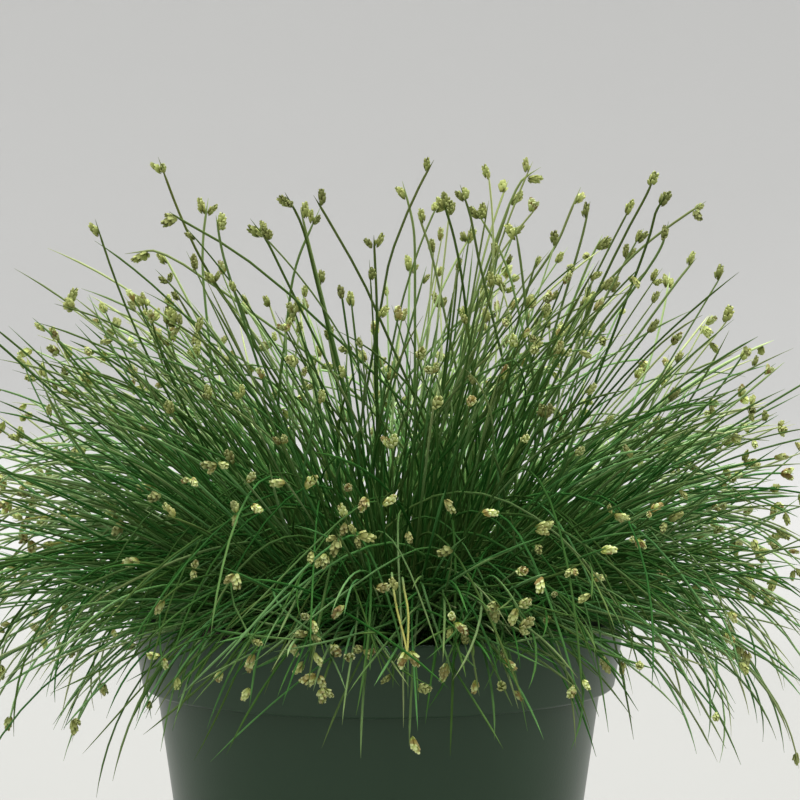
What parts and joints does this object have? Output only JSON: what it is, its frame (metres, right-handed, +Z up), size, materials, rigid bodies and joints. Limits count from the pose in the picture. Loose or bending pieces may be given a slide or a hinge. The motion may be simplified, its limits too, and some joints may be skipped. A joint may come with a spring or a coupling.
{
  "type": "potted fiber optic grass",
  "caption": "Tussock of thread-thin green culms with a small scaly spikelet at each tip, arching out of a grey flower pot with a collar rim.",
  "frame": {"origin": "middle of the pot's flat underside", "axes": "+Z up, the way the culms grow; the crown stands 5 mm to the +X side of the pot's axis; -Y is the side that the picture shows"},
  "size_m": [0.2272, 0.2295, 0.2373],
  "materials": {
    "pot_grey": "satin",
    "potting_soil": "matte",
    "crown_bases": "matte",
    "culm_green": "satin"
  },
  "bodies": {
    "root": {"pot": "pot_grey", "potting_soil": "potting_soil", "root_crown": "crown_bases", "tuft_hanging_01": "culm_green", "tuft_hanging_02": "culm_green", "tuft_hanging_03": "culm_green", "tuft_hanging_04": "culm_green", "tuft_hanging_05": "culm_green", "tuft_hanging_06": "culm_green", "tuft_hanging_07": "culm_green", "tuft_hanging_08": "culm_green", "tuft_hanging_09": "culm_green", "tuft_hanging_10": "culm_green", "tuft_hanging_11": "culm_green", "tuft_hanging_12": "culm_green", "tuft_inner_01": "culm_green", "tuft_inner_02": "culm_green", "tuft_inner_03": "culm_green", "tuft_inner_04": "culm_green", "tuft_inner_05": "culm_green", "tuft_leaning_01": "culm_green", "tuft_leaning_02": "culm_green", "tuft_leaning_03": "culm_green", "tuft_leaning_04": "culm_green", "tuft_leaning_05": "culm_green", "tuft_leaning_06": "culm_green", "tuft_leaning_07": "culm_green", "tuft_leaning_08": "culm_green", "tuft_level_01": "culm_green", "tuft_level_02": "culm_green", "tuft_level_03": "culm_green", "tuft_level_04": "culm_green", "tuft_level_05": "culm_green", "tuft_level_06": "culm_green", "tuft_level_07": "culm_green", "tuft_level_08": "culm_green", "tuft_level_09": "culm_green", "tuft_level_10": "culm_green", "tuft_level_11": "culm_green", "tuft_level_12": "culm_green", "tuft_spreading_01": "culm_green", "tuft_spreading_02": "culm_green", "tuft_spreading_03": "culm_green", "tuft_spreading_04": "culm_green", "tuft_spreading_05": "culm_green", "tuft_spreading_06": "culm_green", "tuft_spreading_07": "culm_green", "tuft_spreading_08": "culm_green", "tuft_spreading_09": "culm_green", "tuft_spreading_10": "culm_green", "tuft_upright_01": "culm_green"}
  },
  "joints": []
}
